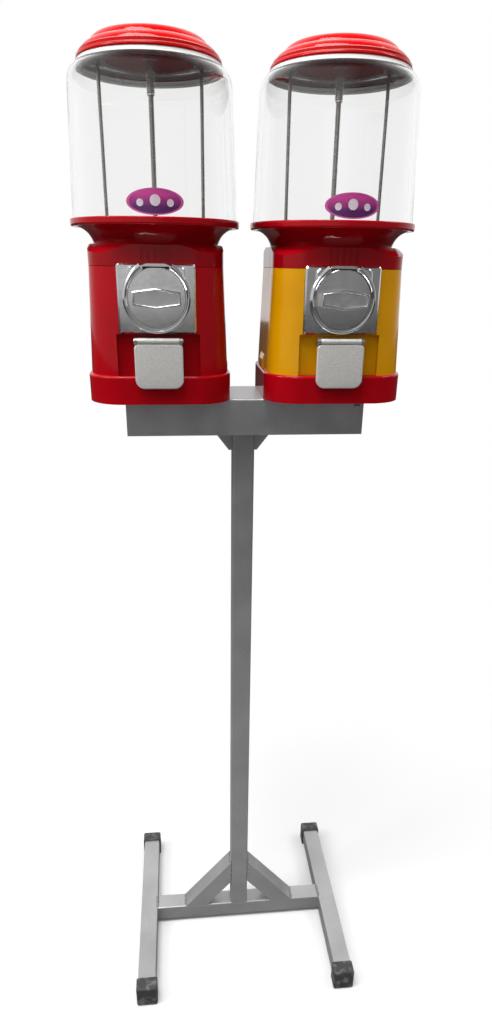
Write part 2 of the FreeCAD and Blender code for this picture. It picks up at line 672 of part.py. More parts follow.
def make_coin_knob(side):
    body = new_body(f"{side}_coin_knob")
    place(body, side, "beam_top + coin_axis")
    back = "(seat_face + plate_gauge + 0.4)"
    disc = sketch_on(body, "front", back)
    circle(disc, "0", "0", "disc_radius")
    block = pad(body, disc, "disc_gauge")
    round_edges(body, block, "0.8", lies_at("Y", -value(f"{back} + disc_gauge")), "Chamfer")
    flat = sketch_on(body, "front", f"{back} + disc_gauge")
    box(flat, "-disc_radius", "disc_radius", "disc_flat", "disc_radius + 1")
    pocket(body, flat, "2 * disc_gauge", "down")
    grip = sketch_on(body, "front", f"{back} + disc_gauge")
    grip_outline(grip, "0")
    block = pad(body, grip, "grip_rise")
    face = f"({back} + disc_gauge + grip_rise)"
    round_edges(body, block, "0.7", lies_at("Y", -value(face)), "Chamfer")
    dish = sketch_on(body, "front", face)
    grip_outline(dish, "grip_rim")
    pocket(body, dish, "1.6", "down")


def make_drive_shaft(side):
    body = new_body(f"{side}_drive_shaft")
    place(body, side, "beam_top + coin_axis")
    front = "(seat_face + plate_gauge + 0.4)"
    sketch = sketch_on(body, "front", front)
    circle(sketch, "0", "0", "shaft_radius")
    pad(body, sketch, f"{front} - crown_radius + tooth_face / 2", "down")


def make_coin_wheel(side):
    """The wheel behind the plate that carries the coin round. Its rim is a ratchet."""
    body = new_body(f"{side}_coin_wheel")
    place(body, side, "beam_top + coin_axis")
    root = "(ratchet_radius - ratchet_depth)"
    sketch = sketch_on(body, "front", "wheel_front")
    circle(sketch, "0", "0", root)
    circle(sketch, "0", "0", "shaft_radius")
    pad(body, sketch, "wheel_gauge", "down")
    tooth = sketch_on(body, "front", "wheel_front")
    draw(tooth, [("-2.6", f"{root} - 1"), ("2.6", f"{root} - 1"), ("2.4", "ratchet_radius - 0.15")])
    one = pad(body, tooth, "wheel_gauge", "down")
    ring_of(body, [one], "ratchet_teeth", "front")
    seat = sketch_on(body, "front", "wheel_front")
    circle(seat, "0", "ratchet_radius - 6", "coin_radius - 1.5")
    pocket(body, seat, "2", "down")


def make_coin_housing(side):
    """The open box behind the coin plate. Its back wall carries the shaft and the pawl's pin."""
    body = new_body(f"{side}_coin_housing")
    place(body, side)
    sketch = sketch_on(body, "front", "seat_face")
    box(sketch, "-housing_half_width", "housing_half_width", "housing_low", "housing_top")
    pad(body, sketch, "seat_face - housing_back", "down")
    room = sketch_on(body, "front", "seat_face")
    inner = "(housing_half_width - housing_wall)"
    box(room, f"-{inner}", inner, "housing_low - 1", "housing_top - housing_wall")
    pocket(body, room, "seat_face - housing_back - 2", "down")
    bore = sketch_on(body, "front", "seat_face")
    circle(bore, "0", "coin_axis", "shaft_radius + play")
    pocket(body, bore, "seat_face", "down")
    pin = sketch_on(body, "front", "housing_back + 1")
    circle(pin, "pawl_x", "pawl_z", "pawl_pin")
    pad(body, pin, "wheel_front - 0.5 - housing_back - 1")


def make_pawl(side):
    """The finger that rides on the ratchet and stops the knob from being turned back."""
    body = new_body(f"{side}_pawl")
    place(body, side)
    boss = sketch_on(body, "front", "wheel_front - 0.5")
    circle(boss, "pawl_x", "pawl_z", "2.5")
    pad(body, boss, "4", "down")
    arm = sketch_on(body, "front", "wheel_front - 0.5")
    draw(arm, [("pawl_x + 0.4", "pawl_z + 1.2"), ("pawl_x - 10", "pawl_z + 4.2"),
               ("pawl_x - 10.6", "pawl_z + 2.4"), ("pawl_x - 0.4", "pawl_z - 1.2")])
    pad(body, arm, "4", "down")
    hole = sketch_on(body, "front", "wheel_front")
    circle(hole, "pawl_x", "pawl_z", "pawl_pin + play")
    pocket(body, hole, "8", "down")


def tooth_outline(sketch, along, root, tip):
    """One straight-sided gear tooth. It points along +X or -Z of the sketch from its root to its tip."""
    mean = f"(({root} + {tip}) / 2)"
    low = f"(tooth_half + abs({mean} - {root}) * 0.3)"
    high = f"(tooth_half - abs({tip} - {mean}) * 0.3)"
    corners = [(root, f"-{low}"), (tip, f"-{high}"), (tip, high), (root, low)]
    if along == "z":
        corners = [(f"-({y})", x) for x, y in corners]
    draw(sketch, corners)


def make_drive_gear(side):
    """The pinion on the drive shaft. A gap between its teeth is on top when the knob is at rest."""
    body = new_body(f"{side}_drive_gear")
    place(body, side, "beam_top + coin_axis")
    front = "(crown_radius + tooth_face / 2)"
    hub = sketch_on(body, "front", front)
    circle(hub, "0", "0", "pinion_radius - 1.2 * gear_module")
    circle(hub, "0", "0", "shaft_radius")
    pad(body, hub, "tooth_face", "down")
    sleeve = sketch_on(body, "front", front)
    circle(sleeve, "0", "0", "shaft_radius + 2")
    circle(sleeve, "0", "0", "shaft_radius")
    pad(body, sleeve, f"housing_back - slip - {front}")
    tooth = sketch_on(body, "front", front)
    tooth_outline(tooth, "x", "pinion_radius - 1.2 * gear_module - 0.6", "pinion_radius + gear_module")
    one = pad(body, tooth, "tooth_face", "down")
    ring_of(body, [one], "pinion_teeth", "front")


def make_dispensing_wheel(side):
    """The turntable under the hopper: four pockets through it, and a crown of teeth under its rim."""
    body = new_body(f"{side}_dispensing_wheel")
    place(body, side)
    disc = sketch_on(body, "top", "rotor_low")
    circle(disc, "0", "0", "rotor_radius")
    pad(body, disc, "rotor_top - rotor_low")
    hub = sketch_on(body, "top", "rotor_low")
    circle(hub, "0", "0", "shaft_radius")
    pad(body, hub, "rotor_low - floor_low + 4", "down")
    tooth = sketch_on(body, "front", "crown_radius - tooth_face / 2")
    pitch = "(coin_axis + pinion_radius)"
    tooth_outline(tooth, "z", "rotor_low + 0.6", f"{pitch} - gear_module")
    one = pad(body, tooth, "tooth_face")
    ring_of(body, [one], "crown_teeth")
    hole = sketch_on(body, "top", "rotor_top")
    circle(hole, "pocket_orbit * sqrt(0.5)", "pocket_orbit * sqrt(0.5)", "pocket_radius")
    one = pocket(body, hole, "2 * (rotor_top - rotor_low)", "down")
    ring_of(body, [one], "4")


def make_wheel_plate(side):
    """The floor under the dispensing wheel, with the drop hole at the back."""
    body = new_body(f"{side}_wheel_plate")
    place(body, side)
    sketch = sketch_on(body, "top", "floor_low")
    circle(sketch, "0", "0", "plate_radius")
    circle(sketch, "0", "0", "shaft_radius + play")
    circle(sketch, "0", "pocket_orbit", "drop_radius")
    pad(body, sketch, "floor_top - floor_low")


def make_brush_plate(side):
    """The half cover over the drop hole, so that only one pocket's load falls at a time."""
    body = new_body(f"{side}_brush_plate")
    place(body, side)
    reach = "sqrt(skirt_radius^2 - 36)"
    sketch = sketch_on(body, "top", "rotor_top + 0.6")
    draw(sketch, [(f"-{reach}", "6", "skirt_radius", 1), (reach, "6")])
    pad(body, sketch, "throat_low - rotor_top - 0.6")


def make_chute(side):
    """The duct from the drop hole to the front. It stands on one leg and carries the flap's ears."""
    body = new_body(f"{side}_chute")
    place(body, side)
    front = "(-chute_front)"
    outer = sketch_on(body, "side")
    draw(outer, [("30", "floor_low"), ("4", "floor_low"), ("4", "chute_mouth + 18"),
                 ("-20", "chute_mouth + 6"), (front, "chute_mouth"), (front, "chute_low"),
                 (f"{front} + 8", "chute_low"), ("25", "chute_low + 47"),
                 ("25", "base_floor"), ("30", "base_floor")])
    pad(body, outer, "2 * chute_half_width", "both")
    head = sketch_on(body, "side")
    box(head, front, f"{front} + 5", "chute_mouth - 1", "hinge_z + 2.6")
    pad(body, head, "2 * (flap_half_width - 0.2)", "both")
    ear = sketch_on(body, "side", "flap_half_width - 0.2 - ear_gauge")
    box(ear, "-hinge_y - 2.6", f"{front} + 2", "hinge_z - 2.6", "hinge_z + 2.6", "2.5")
    one = pad(body, ear, "ear_gauge")
    mirrored(body, [one], "side")
    inner = sketch_on(body, "side")
    draw(inner, [("28", "floor_low + 1"), ("6", "floor_low + 1"), ("6", "chute_mouth + 17"),
                 ("-20", "chute_mouth + 4"), (f"{front} - 8", "chute_mouth - 2"),
                 (f"{front} - 8", "chute_low + 2"), (f"{front} + 9", "chute_low + 2"),
                 ("28", "chute_low + 50.5")])
    pocket(body, inner, "2 * (chute_half_width - chute_wall)", "both")
    hole = sketch_on(body, "side")
    circle(hole, "-hinge_y", "hinge_z", "pin_radius")
    pocket(body, hole, "4 * flap_half_width", "both")


def make_flap_pin(side):
    body = new_body(f"{side}_flap_pin")
    place(body, side)
    sketch = sketch_on(body, "side")
    circle(sketch, "-hinge_y", "hinge_z", "pin_radius")
    pad(body, sketch, "2 * flap_half_width + 1", "both")


def flap_outline(sketch, inset):
    """The door's outline, rounder at its foot than at its top."""
    side = f"(flap_half_width - {inset})"
    low, top = f"(flap_low + {inset})", f"(flap_top - {inset})"
    foot, head = f"(flap_round - {inset})", f"(flap_round / 2 - {inset} / 2)"
    draw(sketch, [(f"-{side} + {foot}", low, foot, 1), (f"{side} - {foot}", low),
                  (side, f"{low} + {foot}", foot, 1), (side, f"{top} - {head}"),
                  (f"{side} - {head}", top, head, 1), (f"-{side} + {head}", top),
                  (f"-{side}", f"{top} - {head}", head, 1), (f"-{side}", f"{low} + {foot}")])


def make_chute_flap(side):
    """The door that hangs in front of the chute on the flap pin."""
    body = new_body(f"{side}_chute_flap")
    place(body, side)
    back = "(hinge_y - 1.8)"
    door = sketch_on(body, "front", back)
    flap_outline(door, "0")
    pad(body, door, "flap_gauge")
    panel = sketch_on(body, "front", f"{back} + flap_gauge")
    flap_outline(panel, "flap_rim * 2")
    block = pad(body, panel, "1.5")
    round_edges(body, block, "1.4", lies_at("Y", -value(f"{back} + flap_gauge + 1.5")), "Chamfer")
    rim = sketch_on(body, "front", f"{back} + flap_gauge")
    flap_outline(rim, "0")
    flap_outline(rim, "flap_rim")
    pad(body, rim, "1.1")
    knuckle = "(flap_half_width - 0.2 - ear_gauge - slip)"
    web = sketch_on(body, "side")
    box(web, f"-{back} - flap_gauge", f"-{back}", "flap_top - 1", "hinge_z")
    pad(body, web, f"2 * {knuckle}", "both")
    barrel = sketch_on(body, "side")
    circle(barrel, "-hinge_y", "hinge_z", "pin_radius + 1.2")
    pad(body, barrel, f"2 * {knuckle}", "both")
    hole = sketch_on(body, "side")
    circle(hole, "-hinge_y", "hinge_z", "pin_radius + play")
    pocket(body, hole, "4 * flap_half_width", "both")


STAND_PIECES = [make_stand_tubes, make_braces, make_head_beam, make_gussets, make_foot_caps]
HEAD_PIECES = [
    make_base_pan, make_mounting_bolts, make_body_shell, make_body_collar, make_hopper, make_globe,
    make_rod_bridge, make_tie_rods, make_centre_rod, make_lid, make_lid_lock, make_lock_plug,
    make_coin_plate, make_coin_knob, make_drive_shaft, make_coin_wheel, make_coin_housing, make_pawl,
    make_drive_gear, make_dispensing_wheel, make_wheel_plate, make_brush_plate, make_chute,
    make_flap_pin, make_chute_flap,
]

for make in STAND_PIECES:
    make()
for head in SIDES:
    for make in HEAD_PIECES:
        make(head)
doc.recompute()

for item in doc.Objects:
    if "Invalid" in item.State or "Error" in item.State:
        raise RuntimeError(f"{item.Label} could not be built")

os.makedirs("parts", exist_ok=True)
for body in doc.Objects:
    if body.TypeId != "PartDesign::Body":
        continue
    if body.Shape.isNull() or not body.Shape.isValid():
        raise RuntimeError(f"{body.Label} has no valid shape")
    body.Shape.exportStep(f"parts/{body.Label}.step")
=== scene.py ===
import json
import math

import bmesh
import bpy
from mathutils import Matrix, Vector, noise


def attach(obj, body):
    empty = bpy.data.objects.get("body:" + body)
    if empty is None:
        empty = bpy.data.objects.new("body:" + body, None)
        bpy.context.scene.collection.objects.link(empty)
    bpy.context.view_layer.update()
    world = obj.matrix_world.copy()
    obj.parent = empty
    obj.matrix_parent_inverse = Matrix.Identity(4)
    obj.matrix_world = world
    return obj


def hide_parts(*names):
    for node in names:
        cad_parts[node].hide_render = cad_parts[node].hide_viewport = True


# The looks of a twin gumball machine on its stand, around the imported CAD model.
# Metres, in the CAD frame: X to the viewer's right, Y to the back, Z up from the floor.

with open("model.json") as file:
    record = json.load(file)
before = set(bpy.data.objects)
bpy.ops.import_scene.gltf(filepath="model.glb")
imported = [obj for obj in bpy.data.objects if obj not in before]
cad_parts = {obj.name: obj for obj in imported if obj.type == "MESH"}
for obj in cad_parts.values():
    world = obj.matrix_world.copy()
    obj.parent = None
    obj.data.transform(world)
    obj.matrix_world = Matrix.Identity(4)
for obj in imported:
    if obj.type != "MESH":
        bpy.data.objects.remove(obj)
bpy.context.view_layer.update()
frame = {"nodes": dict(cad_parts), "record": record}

NODES = frame["nodes"]
SCENE = bpy.context.scene
STAND = "stand"

# Each head's axis, and the heights that several of its pieces share.
HEADS = {"left": -0.0925, "right": 0.0925}
BEAM_TOP = 0.836
PLATE_TOP = BEAM_TOP + 0.1339
COIN_AXIS = BEAM_TOP + 0.1029

# The globe's outer wall leans in a little from its foot to its shoulder. Each is a height and a radius.
GLOBE_FOOT = (BEAM_TOP + 0.171, 0.0837)
GLOBE_SHOULDER = (BEAM_TOP + 0.289, 0.079)


class ShaderTree:
    """A node tree, with short calls for the nodes that are used here."""

    def __init__(self, tree):
        self.tree = tree

    def feed(self, socket, value):
        """Link another node's output to a socket, or set the socket to a constant."""
        if isinstance(value, bpy.types.NodeSocket):
            self.tree.links.new(value, socket)
        else:
            socket.default_value = value

    def node(self, kind, inputs=None, **settings):
        made = self.tree.nodes.new(kind)
        for name, value in settings.items():
            setattr(made, name, value)
        for socket, value in (inputs or {}).items():
            self.feed(made.inputs[socket], value)
        return made

    def ramp(self, factor, low, high, to_low=0.0, to_high=1.0):
        """The factor's range from low to high, mapped to another range."""
        mapped = self.node("ShaderNodeMapRange", {"Value": factor, "From Min": low, "From Max": high,
                                                  "To Min": to_low, "To Max": to_high})
        return mapped.outputs["Result"]

    def math(self, operation, first, second):
        return self.node("ShaderNodeMath", {0: first, 1: second}, operation=operation).outputs[0]

    def seen_straight(self):
        """1 on rays from the camera, also through clear plastic, and 0 after any reflection."""
        rays = self.node("ShaderNodeLightPath").outputs
        turned = self.math("ADD", rays["Diffuse Depth"], rays["Glossy Depth"])
        unturned = self.math("LESS_THAN", turned, 0.5)
        through = self.math("MULTIPLY", rays["Is Transmission Ray"], unturned)
        return self.math("MAXIMUM", rays["Is Camera Ray"], through)


class Paint(ShaderTree):
    """A surface material. Its settings are the constants of the main shader."""

    def __init__(self, name, settings):
        self.material = bpy.data.materials.new(name)
        self.material.use_nodes = True
        super().__init__(self.material.node_tree)
        self.shader = self.tree.nodes["Principled BSDF"]
        for socket, value in settings.items():
            self.shader.inputs[socket].default_value = value
        self.place = self.node("ShaderNodeTexCoord").outputs["Object"]

    def noise(self, scale, detail=3.0, stretch=(1, 1, 1), offset=(0, 0, 0)):
        """Cloudy noise of about one feature per 1/scale metre. Stretch scales it along the axes."""
        spread = self.node("ShaderNodeMapping", {"Vector": self.place, "Scale": stretch, "Location": offset})
        place = spread.outputs[0]
        cloud = self.node("ShaderNodeTexNoise", {"Vector": place, "Scale": scale, "Detail": detail})
        return cloud.outputs["Fac"]

    def blend(self, factor, first, second):
        """A colour between two others."""
        mixed = self.node("ShaderNodeMix", data_type="RGBA")
        for name, value in (("Factor", factor), ("A", first), ("B", second)):
            socket = [s for s in mixed.inputs if s.name == name and s.enabled][0]
            self.feed(socket, value)
        return [s for s in mixed.outputs if s.enabled][0]

    def bump(self, height, depth, below=None):
        """Small relief of a depth in metres, on top of other relief."""
        inputs = {"Height": height, "Strength": 1.0, "Distance": depth}
        if below is not None:
            inputs["Normal"] = below
        return self.node("ShaderNodeBump", inputs).outputs[0]

    def set(self, socket, value):
        self.tree.links.new(value, self.shader.inputs[socket])


def rgba(red, green, blue):
    return (red, green, blue, 1.0)


def enamel(name, deep, bright):
    """Gloss enamel on a cast shell: slight orange peel, cloudy colour, fine rubbed streaks."""
    paint = Paint(name, {"Metallic": 0.0, "Specular IOR Level": 0.06, "Coat Weight": 0.35,
                         "Coat Roughness": 0.05})
    clouds = paint.noise(14, 4)
    paint.set("Base Color", paint.blend(paint.ramp(clouds, 0.3, 0.7), rgba(*deep), rgba(*bright)))
    streaks = paint.noise(160, 5, (1, 1, 0.12))
    paint.set("Roughness", paint.ramp(streaks, 0.35, 0.75, 0.1, 0.26))
    peel = paint.bump(paint.noise(420, 1), 0.00002)
    paint.set("Normal", paint.bump(paint.noise(35, 2), 0.00012, peel))
    return paint.material


def stand_paint():
    """Silver paint on steel tube, with rub marks and specks of dust."""
    paint = Paint("stand_paint", {"Metallic": 0.8})
    clouds = paint.noise(22, 5)
    base = paint.blend(paint.ramp(clouds, 0.3, 0.7), rgba(0.44, 0.442, 0.448), rgba(0.54, 0.542, 0.546))
    rubs = paint.ramp(paint.noise(60, 6, (1, 1, 0.25), (3, 1, 2)), 0.62, 0.75)
    worn = paint.blend(rubs, base, rgba(0.5, 0.5, 0.5))
    specks = paint.ramp(paint.noise(900, 1), 0.72, 0.76)
    paint.set("Base Color", paint.blend(specks, worn, rgba(0.2, 0.2, 0.21)))
    paint.set("Roughness", paint.ramp(clouds, 0.3, 0.7, 0.36, 0.44))
    paint.set("Normal", paint.bump(paint.noise(700, 2), 0.00004))
    return paint.material


def cap_plastic():
    """Dark moulded end caps, scuffed grey."""
    paint = Paint("cap_plastic", {"Metallic": 0.0})
    scuffs = paint.ramp(paint.noise(90, 6), 0.5, 0.72)
    paint.set("Base Color", paint.blend(scuffs, rgba(0.04, 0.04, 0.042), rgba(0.2, 0.2, 0.2)))
    paint.set("Roughness", paint.ramp(paint.noise(140, 4), 0.3, 0.7, 0.35, 0.65))
    paint.set("Normal", paint.bump(paint.noise(1500, 2), 0.00006))
    return paint.material


def clear_plastic():
    """The globes' clear moulded plastic, with faint haze from handling."""
    paint = Paint("clear_plastic", {"Base Color": rgba(0.97, 0.975, 0.97), "Transmission Weight": 1.0,
                                   "IOR": 1.49})
    haze = paint.noise(40, 5, (1, 1, 0.4))
    paint.set("Roughness", paint.ramp(haze, 0.4, 0.8, 0.0, 0.05))
    paint.set("Normal", paint.bump(paint.noise(18, 1), 0.0002))
    return paint.material


def clear_edge_highlight():
    """The globes' moulded edges of clear plastic, in cloudy white: a painted highlight."""
    paint = Paint("clear_edge_highlight", {"Transmission Weight": 0.35, "IOR": 1.2})
    clouds = paint.ramp(paint.noise(60, 4), 0.3, 0.7)
    paint.set("Base Color", paint.blend(clouds, rgba(0.95, 0.95, 0.94), rgba(0.82, 0.81, 0.8)))
    paint.set("Roughness", paint.ramp(clouds, 0.0, 1.0, 0.25, 0.4))
    return paint.material


def metal(name, colour, rough_low, rough_high):
    """Bare or plated metal with fine wear."""
    paint = Paint(name, {"Metallic": 1.0})
    clouds = paint.noise(45, 4)
    darker = tuple(part * 0.8 for part in colour)
    paint.set("Base Color", paint.blend(paint.ramp(clouds, 0.3, 0.75), rgba(*colour), rgba(*darker)))
    paint.set("Roughness", paint.ramp(paint.noise(260, 5), 0.35, 0.7, rough_low, rough_high))
    paint.set("Normal", paint.bump(paint.noise(900, 2), 0.00001))
    return paint.material


def hammered_metal():
    """The chute flaps' cast face with its close hammered grain."""
    paint = Paint("flap_metal", {"Metallic": 0.25})
    spots = paint.node("ShaderNodeTexVoronoi", {"Vector": paint.place, "Scale": 900.0})
    grain = spots.outputs["Distance"]
    hollows = paint.ramp(grain, 0.1, 0.7)
    paint.set("Base Color", paint.blend(hollows, rgba(0.9, 0.89, 0.86), rgba(0.72, 0.71, 0.68)))
    paint.set("Roughness", paint.ramp(paint.noise(300, 3), 0.3, 0.7, 0.3, 0.5))
    paint.set("Normal", paint.bump(grain, 0.00025))
    return paint.material


def moulded_plastic(name, colour):
    """Plain moulded plastic, a little uneven in its gloss."""
    paint = Paint(name, {"Metallic": 0.0})
    clouds = paint.ramp(paint.noise(50, 3), 0.3, 0.7)
    dull = tuple(part * 0.85 for part in colour)
    paint.set("Base Color", paint.blend(clouds, rgba(*colour), rgba(*dull)))
    paint.set("Roughness", paint.ramp(clouds, 0.0, 1.0, 0.25, 0.4))
    paint.set("Normal", paint.bump(paint.noise(600, 2), 0.00003))
    return paint.material


def weld_metal():
    """Painted weld metal: the stand's grey with darker, burnt spots."""
    paint = Paint("weld_metal", {"Metallic": 0.4})
    burnt = paint.ramp(paint.noise(240, 5), 0.4, 0.7)
    paint.set("Base Color", paint.blend(burnt, rgba(0.3, 0.3, 0.3), rgba(0.15, 0.14, 0.13)))
    paint.set("Roughness", paint.ramp(paint.noise(300, 3), 0.3, 0.7, 0.35, 0.6))
    paint.set("Normal", paint.bump(paint.noise(800, 3), 0.0002))
    return paint.material


def printed_film(name):
    """The gloss of printed film, still without its ink."""
    paint = Paint(name, {"Metallic": 0.0, "Coat Weight": 0.3})
    paint.set("Roughness", paint.ramp(paint.noise(200, 2), 0.3, 0.7, 0.25, 0.4))
    return paint


def print_ink(name, colour, other):
    """Printed film, a little uneven in its ink."""
    paint = printed_film(name)
    clouds = paint.ramp(paint.noise(120, 3), 0.3, 0.7)
    paint.set("Base Color", paint.blend(clouds, rgba(*colour), rgba(*other)))
    return paint.material


def shaded_ink(name, below, above, low, high):
    """Printed film whose colour changes from one height to another."""
    paint = printed_film(name)
    height = paint.node("ShaderNodeSeparateXYZ", {0: paint.place}).outputs["Z"]
    uneven = paint.math("ADD", height, paint.ramp(paint.noise(120, 3), 0.3, 0.7, -0.001, 0.001))
    paint.set("Base Color", paint.blend(paint.ramp(uneven, low, high), rgba(*below), rgba(*above)))
    return paint.material


# One material for each slot of the record, and some of the scene's own.
MATERIALS = {
    "stand_paint": stand_paint(),
    "cap_plastic": cap_plastic(),
    "red_paint": enamel("red_paint", (0.42, 0.0012, 0.006), (0.5, 0.002, 0.009)),
    "yellow_paint": enamel("yellow_paint", (0.76, 0.33, 0.001), (0.84, 0.4, 0.002)),
    "clear_plastic": clear_plastic(),
    "plain_steel": metal("plain_steel", (0.42, 0.4, 0.38), 0.22, 0.4),
    "chrome_plate": metal("chrome_plate", (0.82, 0.82, 0.82), 0.12, 0.18),
    "lock_brass": metal("lock_brass", (0.62, 0.5, 0.28), 0.2, 0.35),
    "white_plastic": moulded_plastic("white_plastic", (0.75, 0.75, 0.72)),
    "chute_metal": metal("chute_metal", (0.45, 0.45, 0.45), 0.3, 0.5),
    "flap_metal": hammered_metal(),
}
WELD = weld_metal()
LID_PAINT = enamel("lid_paint", (0.56, 0.003, 0.005), (0.62, 0.005, 0.007))
# Pale pink red for thin bands on the lid's step edges: a painted highlight.
LID_HIGHLIGHT_PAINT = enamel("lid_painted_highlight", (0.75, 0.2, 0.19), (0.85, 0.32, 0.3))
# The collars' deeper red is painted shade: the shadow of the hopper's flange above them.
COLLAR_SHADE_PAINT = enamel("collar_painted_shade", (0.33, 0.001, 0.005), (0.39, 0.0015, 0.007))
# The white on the globes' clear edges is a painted highlight.
EDGE_HIGHLIGHT_PLASTIC = clear_edge_highlight()
DULL_PLATE = metal("dull_plate", (0.85, 0.85, 0.86), 0.28, 0.45)


def dress_nodes():
    """Give each CAD node the material of its slot. Lids are a brighter red, and collars a deeper red, which
    is painted shade from the flange above them.
    """
    own = {"lid": LID_PAINT, "body_collar": COLLAR_SHADE_PAINT}
    for row in frame["record"]["subparts"]:
        node = row["node"]
        piece = node.split("_", 1)[1]
        mesh = NODES[node].data
        mesh.materials.clear()
        mesh.materials.append(own.get(piece, MATERIALS[row["material_slot"]]))


def add_piece(name, mesh, body, material):
    """A finished piece that moves with a CAD body."""
    mesh.materials.append(material)
    for face in mesh.polygons:
        face.use_smooth = True
    piece = bpy.data.objects.new(name, mesh)
    SCENE.collection.objects.link(piece)
    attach(piece, body)
    return piece


def mesh_of(name, points, faces):
    mesh = bpy.data.meshes.new(name)
    mesh.from_pydata(points, [], faces)
    mesh.update()
    return mesh


def strip_faces(rows, columns, closed):
    """Quads over a grid of points, row after row. A closed grid joins its last column to its first."""
    faces = []
    for row in range(rows - 1):
        for column in range(columns if closed else columns - 1):
            after = (column + 1) % columns
            faces.append((row * columns + column, row * columns + after,
                          (row + 1) * columns + after, (row + 1) * columns + column))
    return faces


def weld_bead(name, start, end, radius):
    """A rippled bead of weld between two points, rounded at its ends."""
    ring_spacing, columns = 0.35 * radius, 10
    ripple_depth, ripple_pace = 0.12, 2.1
    lump_depth, lumps_per_metre = 0.25, 300
    start, end = Vector(start), Vector(end)
    along = end - start
    side = along.orthogonal().normalized()
    other = along.normalized().cross(side)
    rows = max(8, int(along.length / ring_spacing))
    points = []
    for row in range(rows):
        share = row / (rows - 1)
        taper = math.sqrt(max(0.02, 1 - (2 * share - 1) ** 8))
        ripple = 1 + ripple_depth * math.sin(row * ripple_pace)
        spot = start + along * share
        for column in range(columns):
            turn = 2 * math.pi * column / columns
            lump = 1 + lump_depth * noise.noise((spot + side * math.cos(turn) * radius) * lumps_per_metre)
            out = side * math.cos(turn) + other * math.sin(turn)
            points.append(spot + out * radius * taper * ripple * lump)
    faces = strip_faces(rows, columns, True)
    faces.append(tuple(reversed(range(columns))))
    faces.append(tuple(range((rows - 1) * columns, rows * columns)))
    add_piece(name, mesh_of(name, points, faces), STAND, WELD)


def make_welds():
    """Beads where the stand's tubes, braces and gussets meet, and stitches down the braces' front seams."""
    half_tube = 0.0127
    half_bead = half_tube * 0.9
    tube_top = 0.0314
    brace_top, brace_reach = 0.118, 0.0843
    foot_axis = 0.1425
    gusset_y, gusset_low, gusset_high = 0.0028, 0.772, 0.79
    stitches, first_stitch, stitch_spacing = 4, 0.08, 0.008
    stitch_start, stitch_end, stitch_rise = half_tube + 0.0004, half_tube + 0.0034, 0.0006
    stitch_y = -half_tube - 0.0001
    for side, sign in (("left", -1), ("right", 1)):
        post_face = sign * half_tube
        beads = (("brace_top", post_face, brace_top, 0.0022),
                 ("brace_foot", sign * brace_reach, tube_top, 0.0022),
                 ("cross", sign * (foot_axis - half_tube), tube_top, 0.002))
        for joint, x, height, radius in beads:
            weld_bead(f"{side}_{joint}_weld", (x, -half_bead, height), (x, half_bead, height), radius)
        weld_bead(f"{side}_gusset_weld", (post_face, gusset_y, gusset_low),
                  (post_face, gusset_y, gusset_high), 0.0018)
        for number in range(stitches):
            height = first_stitch + stitch_spacing * number
            weld_bead(f"{side}_stitch_weld_{number}", (sign * stitch_start, stitch_y, height),
                      (sign * stitch_end, stitch_y, height + stitch_rise), 0.0011)


def globe_radius(height):
    """The globe's outside radius at a height."""
    share = (height - GLOBE_FOOT[0]) / (GLOBE_SHOULDER[0] - GLOBE_FOOT[0])
    return GLOBE_FOOT[1] + share * (GLOBE_SHOULDER[1] - GLOBE_FOOT[1])


def on_globe(head_x, across, height, lift):
    """A point on a globe's front, given its distance across and its height."""
    radius = globe_radius(height)
    turn = across / radius
    out = radius + lift
    return Vector((head_x + out * math.sin(turn), -out * math.cos(turn), height))


def decal_patch(name, side, middle, size, lift, material, hole=0.0):
    """An oval of printed film wrapped on a globe, or an oval ring where a hole is given."""
    rings, columns = 5, 40
    smallest_ring = 0.02
    points = []
    for ring in range(rings):
        share = max(hole + (1 - hole) * ring / (rings - 1), smallest_ring)
        for column in range(columns):
            turn = 2 * math.pi * column / columns
            points.append(on_globe(HEADS[side], middle[0] + size[0] * share * math.cos(turn),
                                   middle[1] + size[1] * share * math.sin(turn), lift))
    faces = strip_faces(rings, columns, True)
    if hole == 0.0:
        faces.append(tuple(reversed(range(columns))))
    mesh = mesh_of(name, points, [tuple(reversed(face)) for face in faces])
    add_piece(name, mesh, STAND, material)


def make_decals():
    """A plain oval sticker low on each globe: a pink rim, a plum field and three pale dots."""
    plum = shaded_ink("decal_plum", (0.09, 0.008, 0.12), (0.6, 0.05, 0.3), BEAM_TOP + 0.182, BEAM_TOP + 0.192)
    pink = print_ink("decal_pink", (0.75, 0.12, 0.4), (0.6, 0.07, 0.33))
    pale = print_ink("decal_pale", (0.85, 0.72, 0.8), (0.75, 0.6, 0.7))
    middle = (0.002, BEAM_TOP + 0.186)
    field_size, rim_size, rim_hole = (0.026, 0.0105), (0.0268, 0.0112), 0.9
    field_lift, rim_lift, dot_lift = 0.00012, 0.0002, 0.00028
    dots = ((-0.014, -0.001, 0.0032), (0.0, 0.001, 0.0048), (0.014, -0.001, 0.0032))
    for side in HEADS:
        decal_patch(f"{side}_decal_field", side, middle, field_size, field_lift, plum)
        decal_patch(f"{side}_decal_rim", side, middle, rim_size, rim_lift, pink, rim_hole)
        for number, (across, up, radius) in enumerate(dots):
            spot = (middle[0] + across, middle[1] + up)
            decal_patch(f"{side}_decal_sweet_{number}", side, spot, (radius, radius), dot_lift, pale)


def make_thread(side):
    """The coarse thread under the lid lock's sleeve, as one winding ridge."""
    low, high = BEAM_TOP + 0.283, BEAM_TOP + 0.2995
    core, crest, pitch = 0.0035, 0.0041, 0.0016
    half_ridge = 0.45 * pitch
    per_turn = 20
    steps = int((high - low) / pitch * per_turn)
    points = []
    for step in range(steps + 1):
        turn = 2 * math.pi * step / per_turn
        height = low + (high - low) * step / steps
        for out, rise in ((core, -half_ridge), (crest, 0.0), (core, half_ridge)):
            points.append((HEADS[side] + out * math.cos(turn), out * math.sin(turn), height + rise))
    mesh = mesh_of(f"{side}_lock_thread", points, strip_faces(steps + 1, 3, False))
    add_piece(f"{side}_lock_thread", mesh, f"{side}_lid", MATERIALS["plain_steel"])


